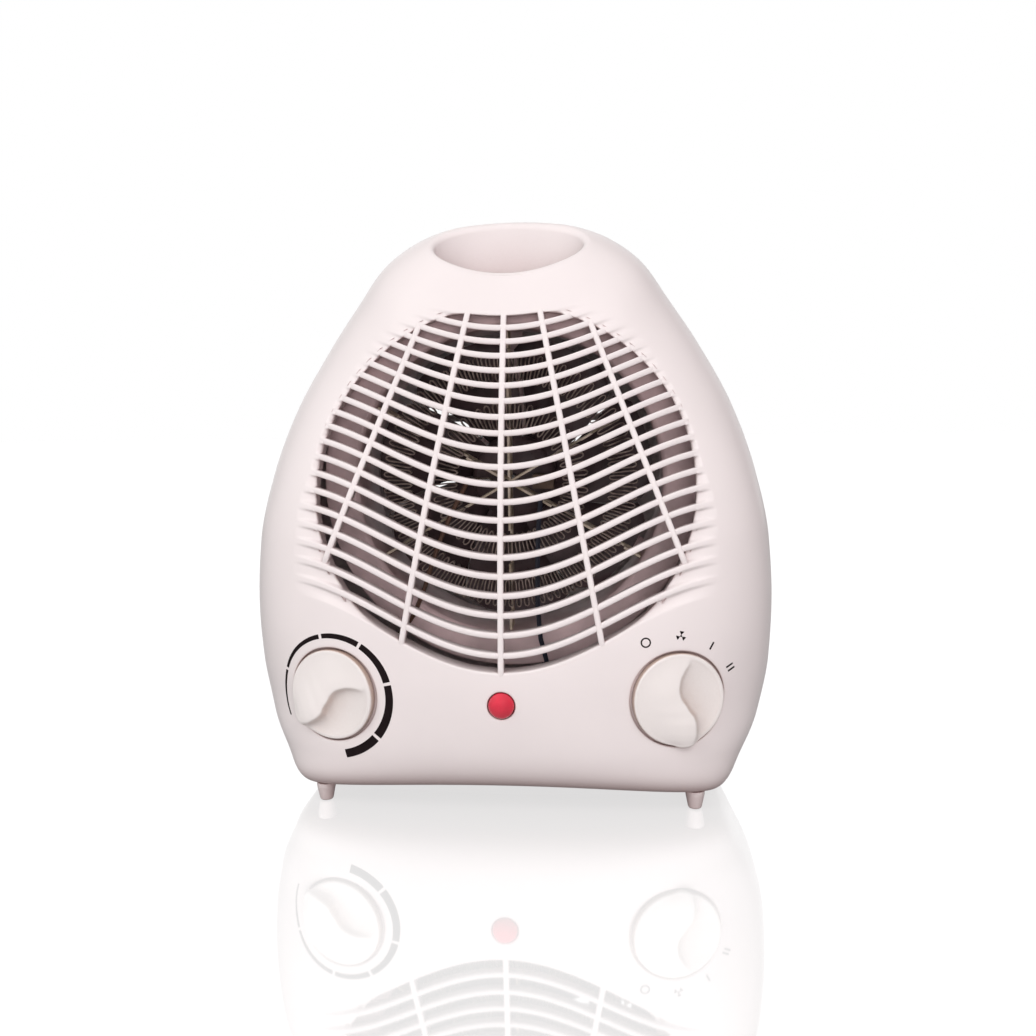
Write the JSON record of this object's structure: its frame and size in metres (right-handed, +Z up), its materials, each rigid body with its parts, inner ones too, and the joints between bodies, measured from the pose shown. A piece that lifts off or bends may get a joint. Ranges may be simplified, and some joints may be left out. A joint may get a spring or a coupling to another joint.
{
  "type": "fan convector heater",
  "caption": "Table-top fan heater: egg-shaped casing with a wave-slat grille, finger pocket, thermostat and selector knobs, lamp, fan, motor, element and cord.",
  "frame": {"origin": "on the floor, under the middle of the bounding box of the heater with its tied cord behind it", "axes": "+Z up, -Y out of the front grille, +X to the right when facing the front"},
  "size_m": [0.2348, 0.2001, 0.2575],
  "materials": {
    "shell_plastic": "moulded white plastic, fine satin texture",
    "knob_plastic": "moulded off-white plastic, satin",
    "red_lens": "clear red lamp lens, glossy",
    "lamp_glass": "clear glass bulb",
    "black_plastic": "black moulded plastic",
    "duct_plastic": "heat-resistant moulded plastic",
    "mica_board": "pressed mica sheet",
    "nichrome": "resistance ribbon, oxidised",
    "steel": "zinc-plated steel",
    "lamination_steel": "stacked motor laminations",
    "brass_part": "turned brass",
    "bobbin_tape": "taped winding",
    "phenolic": "dark phenolic moulding",
    "cord_sheath": "soft white PVC",
    "wire_blue": "blue insulated wire",
    "wire_brown": "brown insulated wire"
  },
  "bodies": {
    "heater": {"air_duct": "duct_plastic", "cable_tie": "black_plastic", "case_screw_1": "steel", "case_screw_2": "steel", "case_screw_3": "steel", "case_screw_4": "steel", "case_screw_5": "steel", "case_screw_6": "steel", "cord_grip": "black_plastic", "duct_screw_1": "steel", "duct_screw_2": "steel", "duct_screw_3": "steel", "duct_screw_4": "steel", "foot_front_left": "shell_plastic", "foot_front_right": "shell_plastic", "foot_rear_left": "shell_plastic", "foot_rear_right": "shell_plastic", "front_bearing": "brass_part", "front_bearing_bracket": "steel", "front_housing": "shell_plastic", "heating_coil_inner": "nichrome", "heating_coil_outer": "nichrome", "lamp_lens": "red_lens", "mica_board_1": "mica_board", "mica_board_2": "mica_board", "mica_board_3": "mica_board", "motor_bolt_left": "steel", "motor_bolt_right": "steel", "motor_coil": "bobbin_tape", "motor_nut_left": "steel", "motor_nut_right": "steel", "motor_stator": "lamination_steel", "neon_lamp": "lamp_glass", "plug_body": "cord_sheath", "plug_pin_lower": "steel", "plug_pin_upper": "steel", "power_cord": "cord_sheath", "rear_bearing": "brass_part", "rear_bearing_bracket": "steel", "rear_housing": "shell_plastic", "switch_body": "phenolic", "terminal_block": "black_plastic", "thermal_cutout": "phenolic", "thermal_fuse": "steel", "thermostat_body": "phenolic", "wire_motor": "wire_blue", "wire_neutral": "wire_blue", "wire_supply_live": "wire_brown", "wire_switch_to_thermostat": "wire_brown", "wire_thermostat_to_element": "wire_brown"},
    "fan": {"fan_impeller": "black_plastic", "motor_shaft": "steel", "motor_rotor": "lamination_steel"},
    "thermostat_control": {"thermostat_knob": "knob_plastic", "thermostat_spindle": "brass_part"},
    "selector_control": {"selector_knob": "knob_plastic", "switch_spindle": "brass_part"}
  },
  "joints": [
    {"name": "fan_spin", "type": "hinge", "parent": "heater", "child": "fan", "pos_m": [0, -0.0235, 0.14], "axis": [0, -1, 0], "continuous": true},
    {"name": "thermostat_turn", "type": "hinge", "parent": "heater", "child": "thermostat_control", "pos_m": [-0.0741, -0.08916, 0.0522], "axis": [-0.284, -0.9588, 0], "range_deg": [-106, 168]},
    {"name": "selector_turn", "type": "hinge", "parent": "heater", "child": "selector_control", "pos_m": [0.0741, -0.08916, 0.0522], "axis": [0.284, -0.9588, 0], "range_deg": [-60, 30]}
  ]
}
